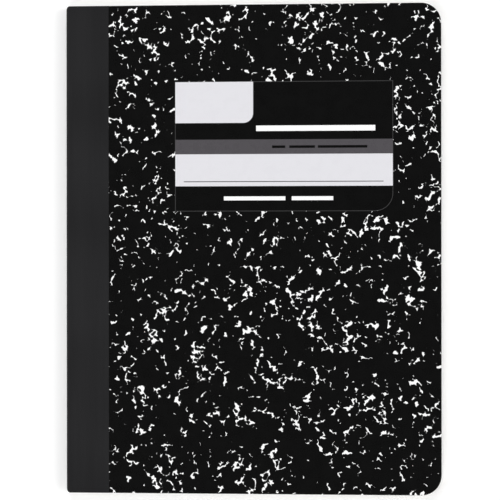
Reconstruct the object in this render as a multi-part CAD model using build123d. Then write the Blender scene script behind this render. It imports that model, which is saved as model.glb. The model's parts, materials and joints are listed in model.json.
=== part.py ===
from build123d import *
import math
import os

# A sewn composition notebook, lying on its back cover.
# +X runs from the spine to the fore edge, +Y from the tail to the head, and +Z up
# from the back cover to the front one. The origin is under the middle of the book.
#
# One gathering of folded leaves is wrapped in one sheet of pressboard. A lockstitch
# through the middle of the fold holds them, and a cloth tape is glued round the spine
# over the stitches. The head, tail and fore edge are then trimmed flush, with both fore
# corners rounded, and both ends of the spine a little. The board and the tape bend along
# two creases, one at each corner of the spine, so each is in three stretches: front,
# spine and back.

# Driving dimensions, in millimetres.
cover_height = 247.65  # head to tail, 9 3/4 in
cover_width = 190.5  # spine to fore edge, 7 1/2 in
leaf_count = 100
leaf_thickness = 0.085  # one leaf with its share of the air between leaves
board_thickness = 0.8
tape_thickness = 0.2
tape_reach = 22.0  # from the spine's face over each cover
spine_radius = 3.0  # outside rounding where a cover turns into the spine
fore_corner_radius = 10.2
spine_end_radius = 2.0  # at the spine's head and tail, seen from the front
trim_allowance = 3.0  # cut off past the head, tail and fore edge
page_clearance = 0.1  # air between the leaves and the board
crease_clearance = 0.05  # between the two faces of a crease
thread_diameter = 0.35
thread_clearance = 0.03  # round each thread, and between the two
thread_bend = 0.35  # radius of the needle thread's turn into a hole
thread_tail = 4.0  # past the first and the last hole
stitch_pitch = 10.0
stitch_margin = 12.0  # least distance from the head or the tail to a hole

# Places that follow from them.
thickness = leaf_count * leaf_thickness + 2 * (board_thickness + page_clearance)
spine_x = -cover_width / 2
fore_x = cover_width / 2
rough_fore_x = fore_x + trim_allowance
middle_z = thickness / 2
block_inset = board_thickness + page_clearance

# The stitches. The bobbin thread lies straight in the fold of the middle leaves, and
# the needle thread loops round it at each hole.
thread_radius = thread_diameter / 2
leg_spread = thread_diameter + thread_clearance  # middle of a leg to middle of the bobbin thread
hole_radius = leg_spread + thread_radius + thread_clearance
hole_length = 2 * (hole_radius + thread_bend)
groove_depth = thread_diameter + 2 * thread_clearance
outer_run_x = spine_x + tape_thickness + thread_clearance + thread_radius
fold_x = spine_x + block_inset + leaf_count / 2 * leaf_thickness
bobbin_x = fold_x + thread_clearance + thread_radius
loop_x = bobbin_x + leg_spread
channel_end_x = loop_x + thread_radius + thread_clearance
hole_count = int((cover_height - 2 * stitch_margin) // stitch_pitch) + 1
hole_places = [(i - (hole_count - 1) / 2) * stitch_pitch for i in range(hole_count)]
tail_y = hole_places[-1] + thread_tail
groove_length = 2 * (tail_y + thread_clearance)


def section_box(x0, z0, x1, z1):
    """A rectangle in the book's cross-section."""
    return Pos((x0 + x1) / 2, (z0 + z1) / 2) * Rectangle(x1 - x0, z1 - z0)


def envelope(inset):
    """The untrimmed book's cross-section, inset from its front, spine and back."""
    outline = section_box(spine_x + inset, inset, rough_fore_x, thickness - inset)
    spine_corners = outline.vertices().group_by(Axis.X)[0]
    return fillet(spine_corners, spine_radius - inset)


def crease_zone(points):
    """A flat region of the cross-section, given by its corners."""
    return make_face(Polyline(*points, close=True))


def trimmed_outline():
    """The book seen from the front: all that the knife leaves."""
    outline = Rectangle(cover_width, cover_height)
    outline = fillet(outline.vertices().group_by(Axis.X)[-1], fore_corner_radius)
    return fillet(outline.vertices().group_by(Axis.X)[0], spine_end_radius)


def from_section(section):
    """The section, drawn out past the tail and the head and then trimmed."""
    rough = extrude(Plane.XZ * section, amount=cover_height / 2 + trim_allowance, both=True)
    knife = extrude(Pos(0, 0, middle_z) * trimmed_outline(), amount=thickness, both=True)
    return rough & knife


def spine_box(x0, x1, y_length, z_length):
    """A box centred on the middle of the spine, from x0 to x1."""
    return Pos((x0 + x1) / 2, 0, middle_z) * Box(x1 - x0, y_length, z_length)


# Each crease is cut along the diagonal of its rounded corner.
step = crease_clearance / math.sqrt(2)
low_in = spine_radius
high_in = thickness - spine_radius
front_zone = crease_zone(
    [
        (spine_x + step, thickness),
        (spine_x + spine_radius + step, high_in),
        (rough_fore_x, high_in),
        (rough_fore_x, thickness),
    ]
)
spine_zone = crease_zone(
    [
        (spine_x - step, thickness),
        (spine_x + spine_radius - step, high_in),
        (spine_x + spine_radius - step, low_in),
        (spine_x - step, 0),
    ]
)
back_zone = crease_zone(
    [
        (spine_x + step, 0),
        (spine_x + spine_radius + step, low_in),
        (rough_fore_x, low_in),
        (rough_fore_x, 0),
    ]
)

# The tape is pressed into the board, so that its outside is flush with it.
tape_section = (envelope(0) - envelope(tape_thickness)) & section_box(
    spine_x, 0, spine_x + tape_reach, thickness
)
board_section = envelope(0) - envelope(board_thickness) - tape_section

# Needle holes, the groove under the tape and the channel in the middle fold.
hole_section = SlotOverall(hole_length, 2 * hole_radius)
holes = [
    Pos(spine_x, y, middle_z) * extrude(Plane.YZ * hole_section, amount=channel_end_x - spine_x)
    for y in hole_places
]
groove = spine_box(
    spine_x + tape_thickness, spine_x + tape_thickness + groove_depth, groove_length, 2 * hole_radius
)
channel = spine_box(fold_x, channel_end_x, groove_length, 2 * hole_radius)


def page_block():
    """Every leaf, as one solid, with the holes and the middle fold that the threads run in."""
    return from_section(envelope(block_inset)) - holes - channel


def cover(zone):
    """One board, from its crease to the fore edge."""
    return from_section(board_section & zone)


def cover_spine():
    """The board's middle stretch, which the stitches go through."""
    return from_section(board_section & spine_zone) - holes - groove


def tape(zone):
    """One stretch of the cloth tape."""
    return from_section(tape_section & zone)


def needle_thread():
    """Long stitches outside the fold, and at each hole a loop in to the bobbin thread."""
    low, high = middle_z - leg_spread, middle_z + leg_spread
    route = [(outer_run_x, -tail_y, high)]
    bends = []
    for y in hole_places:
        route += [(outer_run_x, y, high), (loop_x, y, high), (loop_x, y, low), (outer_run_x, y, low)]
        turn = leg_spread - thread_clearance
        bends += [thread_bend, turn, turn, thread_bend]
    route.append((outer_run_x, tail_y, low))
    path = FilletPolyline(*route, radius=bends)
    return sweep(Plane(origin=path @ 0, z_dir=path % 0) * Circle(thread_radius), path=path)


def bobbin_thread():
    """A straight thread along the middle fold."""
    upright = Cylinder(thread_radius, 2 * tail_y)
    return Pos(bobbin_x, 0, middle_z) * Rot(90, 0, 0) * upright


os.makedirs("parts", exist_ok=True)
export_step(page_block(), "parts/page_block.step")
export_step(cover(front_zone), "parts/front_cover.step")
export_step(cover_spine(), "parts/cover_spine.step")
export_step(cover(back_zone), "parts/back_cover.step")
export_step(tape(front_zone), "parts/spine_tape_front.step")
export_step(tape(spine_zone), "parts/spine_tape_middle.step")
export_step(tape(back_zone), "parts/spine_tape_back.step")
export_step(needle_thread(), "parts/needle_thread.step")
export_step(bobbin_thread(), "parts/bobbin_thread.step")
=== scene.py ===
"""A sewn composition notebook: marbled cover, label, cloth tape and ruled leaves, on its frame."""

import json
import math
import random

import bmesh
import bpy
import numpy as np
from mathutils import Matrix, Vector


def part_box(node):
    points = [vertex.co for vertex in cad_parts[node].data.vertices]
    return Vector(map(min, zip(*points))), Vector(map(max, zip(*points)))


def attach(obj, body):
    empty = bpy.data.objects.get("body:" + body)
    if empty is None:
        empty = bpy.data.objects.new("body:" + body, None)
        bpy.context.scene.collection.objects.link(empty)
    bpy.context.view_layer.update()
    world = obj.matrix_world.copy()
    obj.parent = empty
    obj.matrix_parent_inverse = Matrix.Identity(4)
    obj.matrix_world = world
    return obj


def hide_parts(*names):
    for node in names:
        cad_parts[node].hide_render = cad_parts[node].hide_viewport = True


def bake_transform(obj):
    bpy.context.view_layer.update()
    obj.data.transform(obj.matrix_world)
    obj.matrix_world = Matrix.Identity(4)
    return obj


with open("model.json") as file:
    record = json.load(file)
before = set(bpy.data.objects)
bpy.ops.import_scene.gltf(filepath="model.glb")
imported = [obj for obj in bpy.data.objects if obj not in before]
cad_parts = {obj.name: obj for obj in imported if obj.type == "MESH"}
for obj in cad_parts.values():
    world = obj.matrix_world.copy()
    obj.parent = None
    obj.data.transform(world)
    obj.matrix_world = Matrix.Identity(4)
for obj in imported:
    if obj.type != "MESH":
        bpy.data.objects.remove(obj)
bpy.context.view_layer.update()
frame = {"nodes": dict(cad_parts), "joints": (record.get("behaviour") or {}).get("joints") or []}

# Lengths are in millimetres up to the moment a mesh is made.
MM = 0.001


def box_mm(node):
    """Lowest and highest corner of a CAD node, in millimetres."""
    low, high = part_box(node)
    return np.array(low) / MM, np.array(high) / MM


def hinge_mm(name):
    """A point on a hinge's axis, in millimetres."""
    joint = next(j for j in frame["joints"] if j["name"] == name)
    return np.array(joint["pos_m"]) / MM


cover_high = box_mm("front_cover")[1]
tape_high = box_mm("spine_tape_front")[1]
thread_high = box_mm("needle_thread")[1]
pages_low, pages_high = box_mm("page_block")

SPINE_X = box_mm("spine_tape_middle")[0][0]
FORE_X = cover_high[0]
HEAD_Y = cover_high[1]
THICKNESS = cover_high[2]
MIDDLE_Z = THICKNESS / 2
TAPE_REACH = tape_high[0] - SPINE_X
PAGES_X = pages_high[0]
HALF_PAGES = (pages_high[2] - pages_low[2]) / 2
SPINE_RADIUS = 3.0  # of the rounded corners that the covers open at
SPINE_END = 2.0  # radius at the spine's head and tail, seen from the front
FORE_CORNER = 10.2  # radius at the fore edge's head and tail
BOARD = 0.8

# The cover and the tape are unrolled from the middle of the spine: up its flat face,
# round its corner, and out to the fore edge.
SPINE_RISE = MIDDLE_Z - SPINE_RADIUS
FLAT_START = SPINE_RISE + SPINE_RADIUS * math.pi / 2
COVER_LENGTH = FLAT_START + FORE_X - SPINE_X - SPINE_RADIUS
TAPE_LENGTH = FLAT_START + TAPE_REACH - SPINE_RADIUS

CUT_EDGE_RADIUS = 0.15  # the trimmed board's edges
TAPE_EDGE_RADIUS = 0.05
TAPE_PROUD = 0.12
TAPE_SUNK = 0.03
EDGE_MARGIN = 0.4  # rows this close to an edge keep its rounding from shading the face

STITCH_PITCH = 10.0
STITCH_END = thread_high[1]
STITCH_RELIEF = 0.07  # that the thread lifts the tape by
RIDGE_WIDTH = 0.7  # of the lifted ridge, along the unrolled tape
RIDGE_END = 2.0  # no lift past here
PINCH_LENGTH = 1.2  # of the dip at a needle hole

SHEETS = 50
LEAF = 0.062
LEAF_FOLD_RADIUS = 2.1
LEAF_BUNCHING = 0.16  # share by which the leaves' spacing changes along an edge
LEAF_UNEVENNESS = 0.06  # share by which it differs from leaf to leaf
SETTLE_LENGTH = 15.0  # from the fold to where a leaf lies at its own height
TRIM_DEPTH = 0.05  # how short of the fore edge a leaf is on average, from none to twice this
TRIM_FADE = 30.0  # in from the fore edge, where the uneven trim ends
SHARP_ANGLE = math.radians(40)  # a leaf's edges are sharp, and its fold is smooth
LEAF_SEED = 11

# How many columns or rows of points each part has, and how far apart its flat columns are.
CLIMB_STEPS = 4
BEND_STEPS = 36
EDGE_STEPS = 3
COVER_ROWS = 13
COVER_PITCH = 15.0
COVER_CORNER_STEPS = 14
TAPE_ROWS = 248
TAPE_PITCH = 4.0
TAPE_CORNER_STEPS = 3
LEAF_ROWS = 13
BUNCH_ROWS = 6  # over which the leaves' spacing changes
TRIM_ROWS = 4  # over which their trim changes
LEAF_PITCH = 45.0
LEAF_BEND_STEPS = 8
LEAF_CORNER_STEPS = 10

# The bake's map: y is across it, and each face has a band from low to high up it.
MAP_HALF_WIDTH = 0.495
OUTSIDE_BAND = (0.01, 0.77)
INSIDE_BAND = (0.83, 0.99)
CUT_EDGE_LOW = 0.78
PAGE_BAND = (0.01, 0.85)
HIDDEN_PAGE_BAND = (0.89, 0.99)
HEAD_AND_TAIL_LOWS = (0.855, 0.862)
FORE_EDGE_LOWS = (0.869, 0.876)
EDGE_BAND_HEIGHT = 0.005


# --- Meshes -----------------------------------------------------------------------


def share(value):
    """value, kept from 0 to 1."""
    return min(1.0, max(0.0, value))


def wrap(along, depth, radius, rise, face_x):
    """x and height over the middle plane, for a strip that climbs, rounds a corner and runs flat."""
    corner_end = rise + radius * math.pi / 2
    if along < rise:
        return face_x + depth, along
    if along < corner_end:
        turn = (along - rise) / radius
        reach = radius - depth
        return face_x + radius - reach * math.cos(turn), rise + reach * math.sin(turn)
    return face_x + radius + along - corner_end, rise + radius - depth


class MeshParts:
    """Points, faces and per-point data of a mesh on its way to Blender."""

    def __init__(self):
        self.points = []
        self.sheet = []
        self.faces = []
        self.slots = []
        self.maps = []

    def point(self, place, sheet):
        """Adds a point, with its place on the unrolled sheet, and returns its number."""
        self.points.append(place)
        self.sheet.append(sheet)
        return len(self.points) - 1

    def face(self, corners, slot, spots=None):
        """Adds a face, with a spot of the bake's map for each corner."""
        self.faces.append(corners)
        self.slots.append(slot)
        self.maps.append(spots or [(0.0, 0.0)] * len(corners))

    def strip(self, first, second, slot, spots=None):
        """Quads between two rows of points, of the same length. spots(i) gives quad i's spots."""
        for i in range(len(first) - 1):
            corners = (first[i], first[i + 1], second[i + 1], second[i])
            self.face(corners, slot, spots(i) if spots else None)

    def build(self, name, materials, mapped=True):
        """The finished object, in metres."""
        mesh = bpy.data.meshes.new(name)
        mesh.from_pydata([Vector(p) * MM for p in self.points], [], self.faces)
        mesh.polygons.foreach_set("material_index", self.slots)
        mesh.polygons.foreach_set("use_smooth", [True] * len(self.faces))
        sheet = mesh.attributes.new("sheet", "FLOAT_VECTOR", "POINT")
        sheet.data.foreach_set("vector", np.array(self.sheet, np.float32).ravel())
        if mapped:
            layer = mesh.uv_layers.new(name="OFBake")
            spots = [spot for face in self.maps for spot in face]
            layer.uv.foreach_set("vector", np.array(spots, np.float32).ravel())
        for material in materials:
            mesh.materials.append(material)
        mesh.validate()
        mesh.update()
        made = bpy.data.objects.new(name, mesh)
        bpy.context.scene.collection.objects.link(made)
        turn_outward(made)
        return made


def turn_outward(piece):
    """Makes a closed piece's faces all look outward."""
    work = bmesh.new()
    work.from_mesh(piece.data)
    bmesh.ops.recalc_face_normals(work, faces=work.faces)
    work.to_mesh(piece.data)
    work.free()


def map_spot(y, part, band):
    """The spot of the bake's map at y, and at this share of the way up a band."""
    low, high = band
    return 0.5 + MAP_HALF_WIDTH * y / HEAD_Y, low + (high - low) * part


def grid_spots(spot, i, band):
    """Spots for the quads between columns i and i + 1. spot gives those of a column and row."""
    return lambda j: [
        spot(i, j, band),
        spot(i, j + 1, band),
        spot(i + 1, j + 1, band),
        spot(i + 1, j, band),
    ]


def edge_spots(places, low):
    """Spots for a strip of quads along an edge, at these places across the map."""
    high = low + EDGE_BAND_HEIGHT
    return lambda i: [(places[i], low), (places[i + 1], low), (places[i + 1], high), (places[i], high)]


# A column is its place along the sheet and its angle round the fore corner, None before it.


def flat_places(start, stop, pitch):
    """Even places strictly between start and stop."""
    count = max(1, round((stop - start) / pitch))
    return [start + (stop - start) * i / count for i in range(1, count)]


def corner_columns(length, corner, steps):
    """Columns through a rounded fore corner."""
    return [(length - corner, math.pi / 2 * i / steps) for i in range(steps + 1)]


def wrap_columns(flat):
    """Columns up the spine, round its corner, finely where the cover creases, and along the flat."""
    climb = [SPINE_RISE * i / CLIMB_STEPS for i in range(CLIMB_STEPS)]
    bend = FLAT_START - SPINE_RISE
    corner = [SPINE_RISE + bend * i / BEND_STEPS for i in range(BEND_STEPS + 1)]
    return [(along, None) for along in climb + corner + flat]


def outline(column, length, corner, inset):
    """Place along and half height of a column, with the outline moved in by inset."""
    along, angle = column
    if angle is None:
        return along, HEAD_Y - inset
    reach = corner - inset
    return length - corner + reach * math.sin(angle), HEAD_Y - corner + reach * math.cos(angle)


def spine_end_cut(x):
    """How much the knife takes off the head and the tail beside the spine's rounded ends."""
    short = SPINE_END * (1 - share((x - SPINE_X) / SPINE_END))
    return SPINE_END - math.sqrt(SPINE_END**2 - short**2)


def rows_between(half_height, count):
    """Where the rows cross a column, the outer two on each side close together."""
    inner = np.linspace(EDGE_MARGIN - half_height, half_height - EDGE_MARGIN, count)
    return [-half_height, *inner, half_height]


def edge_profile(top, bottom, radius):
    """(inset, depth) down a trimmed edge from one face to the other, both its corners rounded."""
    turns = [math.pi / 2 * i / EDGE_STEPS for i in range(EDGE_STEPS + 1)]
    upper = [(radius * (1 - math.sin(a)), top + radius * (1 - math.cos(a))) for a in turns]
    lower = [(inset, top + bottom - depth) for inset, depth in reversed(upper)]
    return upper + lower


def border_of(columns, rows):
    """The (column, row) places round a grid, from the spine's middle along the tail and back."""
    border = [(i, 0) for i in range(columns)]
    border += [(columns - 1, j) for j in range(1, rows)]
    return border + [(i, rows - 1) for i in range(columns - 2, -1, -1)]


def half_sheet(name, side, columns, rows, size, faces, relief=None):
    """One half of a sheet wrapped round the spine, as a closed mesh.

    side is 1 at the front and -1 at the back. size is (length, corner radius, outer depth,
    inner depth, edge radius). faces gives the outer, edge and inner materials. relief lifts
    the outer face."""
    length, corner, top, bottom, edge = size
    profile = edge_profile(top, bottom, edge)
    border = border_of(len(columns), rows + 2)
    parts = MeshParts()

    def add(column, row, inset, depth, lift=None):
        along, half_height = outline(columns[column], length, corner, inset)
        x, z = wrap(along, depth, SPINE_RADIUS, SPINE_RISE, SPINE_X)
        y = rows_between(half_height - spine_end_cut(x), rows)[row]
        if lift:
            x, z = wrap(along, depth - lift(along, y), SPINE_RADIUS, SPINE_RISE, SPINE_X)
        sheet = (SPINE_X + SPINE_RADIUS + side * along - FLAT_START, y, depth)
        return parts.point((x, y, MIDDLE_Z + side * z), sheet)

    def grid(inset, depth, lift=None):
        return [[add(i, j, inset, depth, lift) for j in range(rows + 2)] for i in range(len(columns))]

    def spot(column, row, band):
        along, half_height = outline(columns[column], length, corner, 0.0)
        return map_spot(rows_between(half_height, rows)[row], along / length, band)

    outer = grid(*profile[0], relief)
    inner = grid(*profile[-1])
    for face, slot, band in ((outer, 0, OUTSIDE_BAND), (inner, 2, INSIDE_BAND)):
        for i in range(len(columns) - 1):
            parts.strip(face[i], face[i + 1], slot, grid_spots(spot, i, band))

    loops = [[outer[i][j] for i, j in border]]
    loops += [[add(i, j, inset, depth) for i, j in border] for inset, depth in profile[1:-1]]
    loops.append([inner[i][j] for i, j in border])
    places = [n / len(border) for n in range(len(border))]
    for k in range(len(loops) - 1):
        spots = edge_spots(places, CUT_EDGE_LOW + EDGE_BAND_HEIGHT * k)
        parts.strip(loops[k], loops[k + 1], 0 if k == 0 else 1, spots)

    # The end at the middle of the spine, which meets the other half.
    parts.strip(outer[0], inner[0], 1)
    for n in (0, -1):
        parts.face([loop[n] for loop in loops], 1)
    return parts.build(name, faces)


def cover_half(name, side, faces):
    """One half of the cover sheet, with its trimmed edges and rounded fore corner."""
    columns = wrap_columns(flat_places(FLAT_START, COVER_LENGTH - FORE_CORNER, COVER_PITCH))
    columns += corner_columns(COVER_LENGTH, FORE_CORNER, COVER_CORNER_STEPS)
    size = (COVER_LENGTH, FORE_CORNER, 0.0, BOARD, CUT_EDGE_RADIUS)
    return half_sheet(name, side, columns, COVER_ROWS, size, faces)


def stitch_relief(along, y):
    """How far the thread under the tape lifts it: a low ridge, pinched at each needle hole."""
    if abs(y) > STITCH_END or along > RIDGE_END:
        return 0.0
    from_hole = abs((y + STITCH_PITCH / 2) % STITCH_PITCH - STITCH_PITCH / 2)
    pinch = 1 - math.exp(-((from_hole / PINCH_LENGTH) ** 2))
    return STITCH_RELIEF * pinch * math.exp(-((along / RIDGE_WIDTH) ** 2))


def tape_half(name, side, faces):
    """One half of the cloth tape, glued over the cover and lifted a little by the stitches."""
    flat_end = TAPE_LENGTH - EDGE_MARGIN
    corner = 2 * TAPE_EDGE_RADIUS
    columns = wrap_columns([*flat_places(FLAT_START, flat_end, TAPE_PITCH), flat_end])
    columns += corner_columns(TAPE_LENGTH, corner, TAPE_CORNER_STEPS)
    size = (TAPE_LENGTH, corner, -TAPE_PROUD, TAPE_SUNK, TAPE_EDGE_RADIUS)
    return half_sheet(name, side, columns, TAPE_ROWS, size, faces, stitch_relief)


def smooth_noise(rng, across, down, step):
    """A grid of random values from -1 to 1 that change gently from row to row."""
    coarse = [[rng.uniform(-1, 1) for _ in range(down // step + 2)] for _ in range(across)]
    places = np.arange(down) / step
    return np.array([np.interp(places, np.arange(len(row)), row) for row in coarse])


def leaf_heights(rng):
    """Height of each sheet's outer face over the middle plane, at each row of points."""
    spacing = 1 + LEAF_BUNCHING * smooth_noise(rng, SHEETS, LEAF_ROWS, BUNCH_ROWS)
    spacing += LEAF_UNEVENNESS * np.array([[rng.uniform(-1, 1)] for _ in range(SHEETS)])
    heights = np.cumsum(spacing, axis=0)
    return heights * HALF_PAGES / heights[-1]


class Fold:
    """The cross-section of one folded sheet. level is 0 for the innermost."""

    def __init__(self, level):
        self.height = HALF_PAGES * (level + 1) / SHEETS
        self.face_x = pages_low[0] + HALF_PAGES - self.height
        self.radius = min(LEAF_FOLD_RADIUS, self.height)
        self.rise = self.height - self.radius
        self.bend_end = self.rise + self.radius * math.pi / 2
        self.length = self.bend_end + PAGES_X - self.face_x - self.radius

    def columns(self):
        """Columns from the fold to the fore edge."""
        places = [0.0, self.rise] if self.rise > 0 else [0.0]
        bend = self.bend_end - self.rise
        places += [self.rise + bend * i / LEAF_BEND_STEPS for i in range(1, LEAF_BEND_STEPS + 1)]
        places += flat_places(places[-1], self.length - FORE_CORNER, LEAF_PITCH)
        columns = [(along, None) for along in places]
        return columns + corner_columns(self.length, FORE_CORNER, LEAF_CORNER_STEPS)


def leaf_grid(parts, fold, depth, heights, trim):
    """Columns of points over one face of a folded sheet, from its back fore edge to its front one.

    depth is how far under the sheet's outer face this one is. heights are the back and front
    leaf's over the middle plane, and trim is what the fore edge lacks, at each row."""
    halves = []
    for side, levels in zip((-1, 1), heights):
        half = []
        for column in fold.columns():
            along, half_height = outline(column, fold.length, FORE_CORNER, 0.0)
            x, z = wrap(along, depth, fold.radius, fold.rise, fold.face_x)
            half_height -= spine_end_cut(x)
            settled = share((along - fold.bend_end) / SETTLE_LENGTH)
            uneven = share((x - PAGES_X + TRIM_FADE) / TRIM_FADE)
            line = []
            for j in range(LEAF_ROWS):
                y = half_height * (2 * j / (LEAF_ROWS - 1) - 1)
                lift = settled * (levels[j] - fold.height)
                place = (x - uneven * trim[j], y, MIDDLE_Z + side * (z + lift))
                line.append(parts.point(place, (x, y, side * (1.0 - depth / LEAF))))
            half.append(line)
        halves.append(half)
    back, front = halves
    return back[:0:-1] + front


def folded_sheet(parts, level, heights, trim):
    """Adds one folded sheet, two leaves, to the stack."""
    fold = Fold(level)
    outer = leaf_grid(parts, fold, 0.0, heights, trim)
    inner = leaf_grid(parts, fold, LEAF, heights, trim)
    reaches = [outline(column, fold.length, FORE_CORNER, 0.0)[0] for column in fold.columns()]
    shares = [0.5 + reach / fold.length / 2 for reach in reaches]
    up_map = [1 - part for part in shares[:0:-1]] + shares
    across_map = [0.5 + MAP_HALF_WIDTH * (2 * j / (LEAF_ROWS - 1) - 1) for j in range(LEAF_ROWS)]

    def spot(column, row, band):
        y = parts.points[outer[column][row]][1]
        return map_spot(y, up_map[column], band)

    for grid, band in ((outer, PAGE_BAND), (inner, HIDDEN_PAGE_BAND)):
        for i in range(len(grid) - 1):
            parts.strip(grid[i], grid[i + 1], 0, grid_spots(spot, i, band))
    for j, low in zip((0, -1), HEAD_AND_TAIL_LOWS):
        ends = [[line[j] for line in grid] for grid in (outer, inner)]
        parts.strip(*ends, 0, edge_spots(up_map, low))
    for i, low in zip((0, -1), FORE_EDGE_LOWS):
        parts.strip(outer[i], inner[i], 0, edge_spots(across_map, low))


def page_stack(material):
    """Every folded sheet, nested one in the next and trimmed together.

    The outermost, whose ruling shows when a cover opens, is a piece of its own."""
    rng = random.Random(LEAF_SEED)
    front = leaf_heights(rng)
    back = leaf_heights(rng)
    trims = TRIM_DEPTH * (1 + smooth_noise(rng, SHEETS, LEAF_ROWS, TRIM_ROWS))
    pieces = []
    for name, levels, mapped in (
        ("pages", range(SHEETS - 1), False),
        ("outer_sheet", range(SHEETS - 1, SHEETS), True),
    ):
        parts = MeshParts()
        for level in levels:
            folded_sheet(parts, level, (back[level], front[level]), trims[level])
        made = parts.build(name, [material], mapped)
        made.data.set_sharp_from_angle(angle=SHARP_ANGLE)
        pieces.append(made)
    return pieces


# --- Materials --------------------------------------------------------------------


class Nodes:
    """Short calls for a material's nodes. A value is a number, a tuple or another node's output."""

    def __init__(self, name):
        self.material = bpy.data.materials.new(name)
        self.material.use_nodes = True
        self.tree = self.material.node_tree
        self.shader = self.tree.nodes["Principled BSDF"]

    def put(self, socket, value):
        """Sets a socket to a constant, or links an output to it."""
        if isinstance(value, bpy.types.NodeSocket):
            self.tree.links.new(value, socket)
        elif isinstance(value, tuple) and len(value) < len(socket.default_value):
            socket.default_value = (*value, 1.0)
        else:
            socket.default_value = value

    def math(self, operation, *values):
        """A Math node."""
        node = self.tree.nodes.new("ShaderNodeMath")
        node.operation = operation
        for socket, value in zip(node.inputs, values):
            self.put(socket, value)
        return node.outputs[0]

    def vector(self, operation, *values):
        """A Vector Math node."""
        node = self.tree.nodes.new("ShaderNodeVectorMath")
        node.operation = operation
        for socket, value in zip(node.inputs, values):
            self.put(socket, value)
        return node.outputs["Value" if operation == "LENGTH" else "Vector"]

    def sheet_place(self):
        """The place on the unrolled sheet in millimetres, which a crease doesn't move."""
        node = self.tree.nodes.new("ShaderNodeAttribute")
        node.attribute_name = "sheet"
        return node.outputs["Vector"]

    def object_place(self):
        """The place in the object's own frame, in millimetres."""
        node = self.tree.nodes.new("ShaderNodeTexCoord")
        return self.vector("MULTIPLY", node.outputs["Object"], (1 / MM, 1 / MM, 1 / MM))

    def split(self, place):
        """x, y and z of a vector."""
        node = self.tree.nodes.new("ShaderNodeSeparateXYZ")
        self.put(node.inputs[0], place)
        return node.outputs

    def join(self, x, y, z=0.0):
        """A vector from three numbers."""
        node = self.tree.nodes.new("ShaderNodeCombineXYZ")
        for socket, value in zip(node.inputs, (x, y, z)):
            self.put(socket, value)
        return node.outputs[0]

    def turned(self, place, degrees):
        """A place turned about the sheet's normal."""
        node = self.tree.nodes.new("ShaderNodeVectorRotate")
        node.rotation_type = "Z_AXIS"
        node.inputs["Angle"].default_value = math.radians(degrees)
        self.put(node.inputs["Vector"], place)
        return node.outputs[0]

    def noise(self, place, size, detail=2.0, colour=False, flat=True):
        """Noise whose features are about size wide."""
        node = self.tree.nodes.new("ShaderNodeTexNoise")
        node.noise_dimensions = "2D" if flat else "3D"
        self.put(node.inputs["Vector"], place)
        node.inputs["Scale"].default_value = 1 / size
        node.inputs["Detail"].default_value = detail
        return node.outputs["Color" if colour else "Fac"]

    def blend(self, part, first, second):
        """A colour between first, at part 0, and second, at part 1."""
        node = self.tree.nodes.new("ShaderNodeMix")
        node.data_type = "RGBA"
        self.put(node.inputs[0], part)
        self.put(node.inputs[6], first)
        self.put(node.inputs[7], second)
        return node.outputs[2]

    def rise(self, value, low, high):
        """0 below low, 1 above high, and smooth between."""
        node = self.tree.nodes.new("ShaderNodeMapRange")
        node.interpolation_type = "SMOOTHSTEP"
        for socket, number in zip(node.inputs, (value, low, high)):
            self.put(socket, number)
        return node.outputs[0]

    def spread(self, value, low, high):
        """low where value is 0 and high where it is 1."""
        return self.math("MULTIPLY_ADD", value, high - low, low)

    def bump(self, height, distance):
        """A bumped normal. distance is the relief in millimetres for a height of 1."""
        node = self.tree.nodes.new("ShaderNodeBump")
        node.inputs["Distance"].default_value = distance * MM
        self.put(node.inputs["Height"], height)
        return node.outputs[0]

    def finish(self, colour, roughness, normal=None, specular=0.5):
        """Fills the shader and returns the material."""
        self.put(self.shader.inputs["Base Color"], colour)
        self.put(self.shader.inputs["Roughness"], roughness)
        self.shader.inputs["Specular IOR Level"].default_value = specular
        if normal:
            self.put(self.shader.inputs["Normal"], normal)
        return self.material


BLACK_INK = (0.0027, 0.0027, 0.0027)
MARBLE_WHITE = (0.94, 0.94, 0.94)
LABEL_WHITE = (0.722, 0.716, 0.75)
LABEL_GREY = (0.080, 0.075, 0.082)
OUTLINE_GREY = (0.05, 0.05, 0.05)

# The marbling. Noise warps the place, (size, reach, detail), and then ink drops of three
# sizes leave white between them, (spacing, least and most radius as a share of it, swing,
# softness). Each layer is turned by its own angle, so that no two grids of drops line up.
MARBLE_WARPS = ((5.34, 3.14, 1.0), (1.1, 0.743, 0.0), (0.79, 0.324, 0.0))
MARBLE_DROPS = (
    (5.98, 0.197, 0.449, 0.295, 0.0),
    (3.9, 0.38, 0.586, 0.6, 0.2),
    (1.84, 0.251, 0.299, 0.255, 0.1),
)
MARBLE_TURNS = (33.0, 58.0, 17.0)
MARBLE_SHIFT = (40.0, 28.0)  # from one layer to the next
MARBLE_CROWDING = 17.5  # size of the patches where drops are larger or smaller
MARBLE_WHITE_FROM = 0.388  # this far outside every drop
MARBLE_SOFTNESS = 0.03  # half the width of a drop's edge
FAR_OUTSIDE = 10.0  # more than any place is from a drop


def drops(n, place, crowding, spacing, least, most, swing, softness):
    """How far a place is outside the nearest ink drop, in millimetres.

    swing makes every drop larger where crowding is high, and softness melts neighbours together."""
    node = n.tree.nodes.new("ShaderNodeTexVoronoi")
    node.voronoi_dimensions = "2D"
    node.feature = "SMOOTH_F1" if softness else "F1"
    if softness:
        node.inputs["Smoothness"].default_value = softness
    node.inputs["Scale"].default_value = 1 / spacing
    n.put(node.inputs["Vector"], place)
    chance = n.split(node.outputs["Color"])[0]
    radius = n.spread(chance, least, most)
    radius = n.math("MULTIPLY_ADD", n.math("SUBTRACT", crowding, 0.5), swing, radius)
    return n.math("MULTIPLY", n.math("SUBTRACT", node.outputs["Distance"], radius), spacing)


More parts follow.
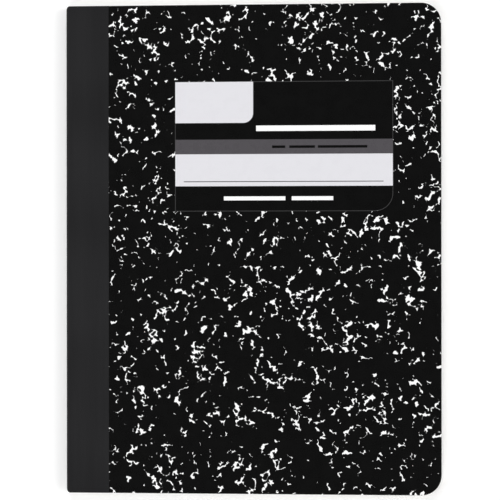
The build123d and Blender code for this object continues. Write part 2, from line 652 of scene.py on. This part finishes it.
def marbling(n, place):
    """1 where the white paper shows between drops of black ink, and 0 in the ink."""
    for size, reach, detail in MARBLE_WARPS:
        swirl = n.vector("SUBTRACT", n.noise(place, size, detail, colour=True), (0.5, 0.5, 0.5))
        place = n.vector("MULTIPLY_ADD", swirl, (reach, reach, 0.0), place)
    crowding = n.noise(place, MARBLE_CROWDING, 1.0)
    right, up = MARBLE_SHIFT
    outside = FAR_OUTSIDE
    for number, (drop, turn) in enumerate(zip(MARBLE_DROPS, MARBLE_TURNS)):
        shifted = n.vector("ADD", n.turned(place, turn), (right * number, up * number, 0.0))
        outside = n.math("MINIMUM", outside, drops(n, shifted, crowding, *drop))
    return n.rise(outside, MARBLE_WHITE_FROM - MARBLE_SOFTNESS, MARBLE_WHITE_FROM + MARBLE_SOFTNESS)


# The label, from the spine edge and from the head edge.
LABEL_LEFT, LABEL_RIGHT = 56.1, 166.2
LABEL_TOP, LABEL_BOTTOM = 39.1, 104.5
LABEL_CORNER = 9.0
TAB_RIGHT, TAB_BOTTOM, TAB_CORNER = 95.7, 59.9, 5.0
GREY_BAND = (68.3, 75.7)
NAME_BAND = (75.7, 91.9)
NAME_RULE = (60.4, 161.5, 89.6)
NAME_RULE_WIDTH = 0.38
OUTLINE_WIDTH = 0.3

# Plain bars where lettering would be, one for each word, as (left, right) and (top, bottom).
HEADING_BARS = (((97.2, 157.4),), (61.3, 64.1), MARBLE_WHITE)
COUNT_BARS = (((105.3, 112.0), (114.0, 127.0), (128.5, 153.4)), (71.4, 72.7), BLACK_INK)
RULING_BARS = (((80.8, 112.0), (115.2, 136.2)), (97.1, 99.1), MARBLE_WHITE)


def panel(n, x, y, edges, corner=0.0):
    """Distance outside a rectangle whose lower right corner is rounded.

    x is from the spine and y from the head, and so are edges: left, right, top and bottom."""
    left, right, top, bottom = edges
    across = n.math("SUBTRACT", x, right - corner)
    down = n.math("SUBTRACT", y, bottom - corner)
    beyond = n.join(n.math("MAXIMUM", across, 0.0), n.math("MAXIMUM", down, 0.0))
    within = n.math("MINIMUM", n.math("MAXIMUM", across, down), 0.0)
    round_edge = n.math("SUBTRACT", n.math("ADD", n.vector("LENGTH", beyond), within), corner)
    straight = n.math("MAXIMUM", n.math("SUBTRACT", left, x), n.math("SUBTRACT", top, y))
    return n.math("MAXIMUM", round_edge, straight)


def painted(n, colour, distance, paint):
    """colour, with paint wherever distance is below zero."""
    return n.blend(n.math("LESS_THAN", distance, 0.0), colour, paint)


def label(n, place, ground):
    """The ground colour with the label on it: tab, grey band, name field with its rule, and bars."""
    place = n.split(place)
    x = n.math("SUBTRACT", place[0], SPINE_X)
    y = n.math("SUBTRACT", HEAD_Y, place[1])
    whole = panel(n, x, y, (LABEL_LEFT, LABEL_RIGHT, LABEL_TOP, LABEL_BOTTOM), LABEL_CORNER)
    colour = painted(n, ground, whole, BLACK_INK)
    edge = n.math("SUBTRACT", n.math("ABSOLUTE", whole), OUTLINE_WIDTH / 2)
    colour = painted(n, colour, edge, OUTLINE_GREY)
    for edges, corner, paint in (
        ((LABEL_LEFT, TAB_RIGHT, LABEL_TOP, TAB_BOTTOM), TAB_CORNER, LABEL_WHITE),
        ((LABEL_LEFT, LABEL_RIGHT, *GREY_BAND), 0.0, LABEL_GREY),
        ((LABEL_LEFT, LABEL_RIGHT, *NAME_BAND), 0.0, LABEL_WHITE),
    ):
        colour = painted(n, colour, panel(n, x, y, edges, corner), paint)
    left, right, down = NAME_RULE
    rule = (left, right, down - NAME_RULE_WIDTH / 2, down + NAME_RULE_WIDTH / 2)
    colour = painted(n, colour, panel(n, x, y, rule), BLACK_INK)
    for words, heights, paint in (HEADING_BARS, COUNT_BARS, RULING_BARS):
        for ends in words:
            colour = painted(n, colour, panel(n, x, y, (*ends, *heights)), paint)
    return colour


def cover_print():
    """Marbled and lacquered cover paper, with the label printed on its front."""
    n = Nodes("cover_print")
    place = n.sheet_place()
    marble = n.blend(marbling(n, place), BLACK_INK, MARBLE_WHITE)
    colour = label(n, place, marble)
    fibre = n.noise(place, 0.5, 3.0)
    wave = n.noise(place, 6.0, 2.0)
    roughness = n.math("ADD", n.spread(fibre, -0.03, 0.03), n.spread(wave, 0.24, 0.32))
    height = n.math("MULTIPLY_ADD", wave, 2.0, fibre)
    return n.finish(colour, roughness, n.bump(height, 0.004), specular=0.2)


def raw_board():
    """The board's cut edge: grey pulp in thin plies."""
    n = Nodes("raw_board")
    place = n.vector("MULTIPLY", n.sheet_place(), (0.3, 0.3, 8.0))
    plies = n.noise(place, 1.0, 3.0, flat=False)
    colour = n.blend(plies, (0.055, 0.053, 0.05), (0.14, 0.135, 0.125))
    return n.finish(colour, 0.85, n.bump(plies, 0.03), specular=0.3)


def cover_liner():
    """The plain paper inside the covers."""
    n = Nodes("cover_liner")
    place = n.sheet_place()
    fibre = n.noise(place, 0.4, 4.0)
    cloud = n.noise(place, 14.0, 2.0)
    colour = n.blend(cloud, (0.60, 0.59, 0.56), (0.66, 0.65, 0.62))
    return n.finish(colour, n.spread(fibre, 0.6, 0.75), n.bump(fibre, 0.012), specular=0.35)


TAPE_DARK = (0.003, 0.003, 0.0036)
TAPE_LIGHT = (0.0155, 0.0155, 0.0168)
THREAD_PITCH = 0.42


def weave(n, x, y):
    """Height of a plain weave, 0 in the gaps and 1 on a thread's crown."""
    turn = math.tau / (2 * THREAD_PITCH)
    warp = n.math("SINE", n.math("MULTIPLY", x, turn))
    weft = n.math("SINE", n.math("MULTIPLY", y, turn))
    over = n.math("MULTIPLY", warp, weft)
    return n.spread(over, 0.5, 1.0)


def binding_cloth():
    """Matte black binding cloth, filled so that its weave only just shows, with painted shade
    darkening the weave's gaps.
    """
    n = Nodes("binding_cloth")
    place = n.sheet_place()
    x, y = n.split(place)[:2]
    threads = weave(n, x, y)
    slub = n.noise(n.vector("MULTIPLY", place, (1.0, 0.05, 0.0)), 1.6, 3.0)
    band = n.noise(n.vector("MULTIPLY", place, (1.0, 0.02, 0.0)), 7.0, 1.0)
    speck = n.noise(place, 0.35, 2.0)
    cloud = n.noise(n.vector("MULTIPLY", place, (0.7, 1.0, 0.0)), 55.0, 1.0)
    # The weave's height darkens the colour in the gaps between threads: painted shade. slub, band and
    # cloud vary the tone at random.
    tone = n.math("MULTIPLY_ADD", threads, 0.2, n.math("MULTIPLY", slub, 0.25))
    tone = n.math("MULTIPLY_ADD", band, 0.25, tone)
    tone = n.math("MULTIPLY_ADD", n.rise(cloud, 0.3, 0.7), 0.3, tone)
    colour = n.blend(tone, TAPE_DARK, TAPE_LIGHT)
    height = n.math("MULTIPLY_ADD", speck, 0.6, threads)
    return n.finish(colour, n.spread(speck, 0.62, 0.8), n.bump(height, 0.045), specular=0.2)


RULE_PITCH = 7.14  # 9/32 in
RULE_WIDTH = 0.3
FIRST_RULE = 28.0  # from the head
LAST_RULE = 236.0
MARGIN_RULE = 31.75
PAPER_LIGHT = (0.78, 0.76, 0.70)
PAPER_DARK = (0.74, 0.72, 0.655)
LEAF_SHADOW = (0.46, 0.45, 0.42)
RULE_BLUE = (0.20, 0.40, 0.66)
MARGIN_RED = (0.72, 0.22, 0.26)
FACE_FROM = 0.95  # a sheet place's third number is 1 on a leaf's outer face and 0 on its inner one
EDGE_INK = 0.14  # how strongly a rule's end shows on a trimmed edge
PAGE_INK = 0.8
GAP_SHADE = 0.55  # how dark the gaps between leaves get


def leaf_streaks(n):
    """Light and dark streaks along the trimmed leaves, as runs of them catch the light."""
    place = n.object_place()
    fine = n.noise(n.vector("MULTIPLY", place, (0.03, 0.03, 1.0)), 0.22, 2.0, flat=False)
    broad = n.noise(n.vector("MULTIPLY", place, (0.012, 0.012, 1.0)), 0.9, 1.0, flat=False)
    return n.rise(n.math("MULTIPLY_ADD", fine, 0.6, n.math("MULTIPLY", broad, 0.4)), 0.38, 0.62)


def page_rules(n, y):
    """1 on the blue rules, which keep clear of the head and the tail."""
    down = n.math("SUBTRACT", HEAD_Y, y)
    nearest = n.math("PINGPONG", n.math("SUBTRACT", down, FIRST_RULE), RULE_PITCH / 2)
    rules = n.math("LESS_THAN", nearest, RULE_WIDTH / 2)
    for limit, way in ((FIRST_RULE - RULE_PITCH / 2, "GREATER_THAN"), (LAST_RULE, "LESS_THAN")):
        rules = n.math("MULTIPLY", rules, n.math(way, down, limit))
    return rules


def page_margin(n, x, side):
    """1 on the margin's red line, left of each page as it is read. side is over 0 at the front."""
    front = n.math("GREATER_THAN", side, 0.0)
    left = n.spread(front, FORE_X - MARGIN_RULE, SPINE_X + MARGIN_RULE)
    return n.math("LESS_THAN", n.math("ABSOLUTE", n.math("SUBTRACT", x, left)), RULE_WIDTH / 2)


def ruled_paper():
    """Writing paper with blue rules and a red margin, and shaded gaps along its trimmed edges."""
    n = Nodes("ruled_paper")
    place = n.sheet_place()
    x, y, side = n.split(place)
    fibre = n.noise(place, 0.35, 3.0)
    cloud = n.noise(place, 22.0, 2.0)
    cloud = n.math("MULTIPLY_ADD", fibre, 0.3, n.math("MULTIPLY", cloud, 0.7))
    colour = n.blend(cloud, PAPER_DARK, PAPER_LIGHT)
    face = n.math("GREATER_THAN", n.math("ABSOLUTE", side), FACE_FROM)
    ink = n.spread(face, EDGE_INK, PAGE_INK)
    colour = n.blend(n.math("MULTIPLY", page_rules(n, y), ink), colour, RULE_BLUE)
    colour = n.blend(n.math("MULTIPLY", page_margin(n, x, side), ink), colour, MARGIN_RED)
    shaded = n.math("SUBTRACT", 1.0, leaf_streaks(n))
    gap = n.math("MULTIPLY", n.math("SUBTRACT", 1.0, face), shaded)
    colour = n.blend(n.math("MULTIPLY", gap, GAP_SHADE), colour, LEAF_SHADOW)
    return n.finish(colour, 0.82, n.bump(fibre, 0.01), specular=0.3)


PLY_TURN = 14.0  # radians in a millimetre


def sewing_thread():
    """Two-ply sewing thread, with painted shade in the grooves between its plies."""
    n = Nodes("sewing_thread")
    x, y, z = n.split(n.object_place())
    along = n.math("ADD", y, n.math("ADD", x, z))
    twist = n.spread(n.math("SINE", n.math("MULTIPLY", along, PLY_TURN)), 0.5, 1.0)
    # The colour follows the twist's height: painted shade, darker in the grooves between the plies.
    colour = n.blend(twist, (0.62, 0.60, 0.55), (0.80, 0.78, 0.73))
    return n.finish(colour, 0.7, n.bump(twist, 0.03), specular=0.3)


def floor_paper():
    """Plain white studio floor."""
    n = Nodes("floor_paper")
    node = n.tree.nodes.new("ShaderNodeTexCoord")
    cloud = n.noise(node.outputs["Object"], 0.5, 2.0)
    colour = n.blend(cloud, (0.93, 0.93, 0.93), (0.95, 0.95, 0.95))
    n.shader.inputs["Emission Color"].default_value = (1.0, 1.0, 1.0, 1.0)
    n.shader.inputs["Emission Strength"].default_value = 0.1
    return n.finish(colour, 0.9, specular=0.1)


# --- The notebook -----------------------------------------------------------------


def crease(piece, joint):
    """Bakes a piece's place into its mesh. A point on the hinge is looked up, and nothing uses it."""
    start = hinge_mm(joint)
    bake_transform(piece)


def make_notebook():
    """Builds each piece, ties the pages to the book block's body, and gives the threads their
    material.
    """
    board_faces = [cover_print(), raw_board(), cover_liner()]
    cloth = binding_cloth()
    for end, side in (("front", 1), ("back", -1)):
        joint = f"{end}_cover_hinge"
        cover = cover_half(f"cover_sheet_{end}", side, board_faces)
        crease(cover, joint)
        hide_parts(f"{end}_cover", "cover_spine")
        tape = tape_half(f"tape_{end}", side, [cloth, cloth, cloth])
        crease(tape, joint)
        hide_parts(f"spine_tape_{end}", "spine_tape_middle")

    for paper in page_stack(ruled_paper()):
        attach(paper, "book_block")
        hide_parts("page_block")

    thread = sewing_thread()
    for node in ("needle_thread", "bobbin_thread"):
        for slot in frame["nodes"][node].material_slots:
            slot.material = thread


# --- Floor, light and camera ------------------------------------------------------

FLOOR_METRES = 60.0
FLOOR_DROP = 0.15  # to clear the tape, which stands proud under the notebook
LIGHT_ELEVATION = math.radians(45)
LIGHT_ANGLE = math.radians(35)  # how wide each light looks, which softens its shadow


def make_floor():
    """A wide pale floor, just under the notebook."""
    bpy.ops.mesh.primitive_plane_add(size=FLOOR_METRES, location=(0, 0, -FLOOR_DROP * MM))
    floor = bpy.context.object
    floor.name = "floor"
    floor.data.materials.append(floor_paper())


def make_world():
    """A pale room that is dark right overhead, so that the cover's lacquer stays black from above."""
    world = bpy.data.worlds.new("studio")
    world.use_nodes = True
    bpy.context.scene.world = world
    tree = world.node_tree
    background = tree.nodes["Background"]
    place = tree.nodes.new("ShaderNodeTexCoord")
    height = tree.nodes.new("ShaderNodeSeparateXYZ")
    tree.links.new(place.outputs["Generated"], height.inputs[0])
    ceiling = tree.nodes.new("ShaderNodeMapRange")
    ceiling.interpolation_type = "SMOOTHSTEP"
    tree.links.new(height.outputs[2], ceiling.inputs["Value"])
    for name, value in (("From Min", 0.25), ("From Max", 0.85), ("To Min", 0.32), ("To Max", 0.06)):
        ceiling.inputs[name].default_value = value
    seen = tree.nodes.new("ShaderNodeLightPath")
    level = tree.nodes.new("ShaderNodeMix")
    tree.links.new(seen.outputs["Is Camera Ray"], level.inputs[0])
    tree.links.new(ceiling.outputs[0], level.inputs[2])
    level.inputs[3].default_value = 1.0
    tree.links.new(level.outputs[0], background.inputs["Color"])


def make_lights():
    """Four broad soft lights, one from each side."""
    for name, azimuth, strength in (
        ("light_right", 0.0, 1.08),
        ("light_head", 90.0, 1.16),
        ("light_left", 180.0, 0.88),
        ("light_tail", 270.0, 1.14),
    ):
        light = bpy.data.lights.new(name, "SUN")
        light.energy = strength
        light.angle = LIGHT_ANGLE
        made = bpy.data.objects.new(name, light)
        bpy.context.scene.collection.objects.link(made)
        turn = math.radians(azimuth)
        level = math.cos(LIGHT_ELEVATION)
        toward = Vector((level * math.cos(turn), level * math.sin(turn), math.sin(LIGHT_ELEVATION)))
        made.rotation_euler = toward.to_track_quat("Z", "Y").to_euler()


def make_camera():
    """Looks down on the front cover, from a little to the fore edge's side."""
    distance = 1100.0
    tilt = math.radians(4.85)
    roll = math.radians(-0.06)
    aim = Vector((-1.2, -0.39, THICKNESS))
    back = Vector((math.sin(tilt), 0.0, math.cos(tilt)))
    right = Vector((0.0, 1.0, 0.0)).cross(back).normalized()
    up = back.cross(right)
    rolled_right = math.cos(roll) * right + math.sin(roll) * up
    rolled_up = math.cos(roll) * up - math.sin(roll) * right
    turned = Matrix((rolled_right, rolled_up, back)).transposed().to_4x4()
    camera = bpy.data.cameras.new("camera")
    camera.sensor_width = 36.0
    camera.lens = 156.6
    made = bpy.data.objects.new("camera", camera)
    bpy.context.scene.collection.objects.link(made)
    made.matrix_world = Matrix.Translation((aim + distance * back) * MM) @ turned
    bpy.context.scene.camera = made


make_notebook()
make_floor()
make_world()
make_lights()
make_camera()
bpy.context.scene.view_settings.view_transform = "Standard"
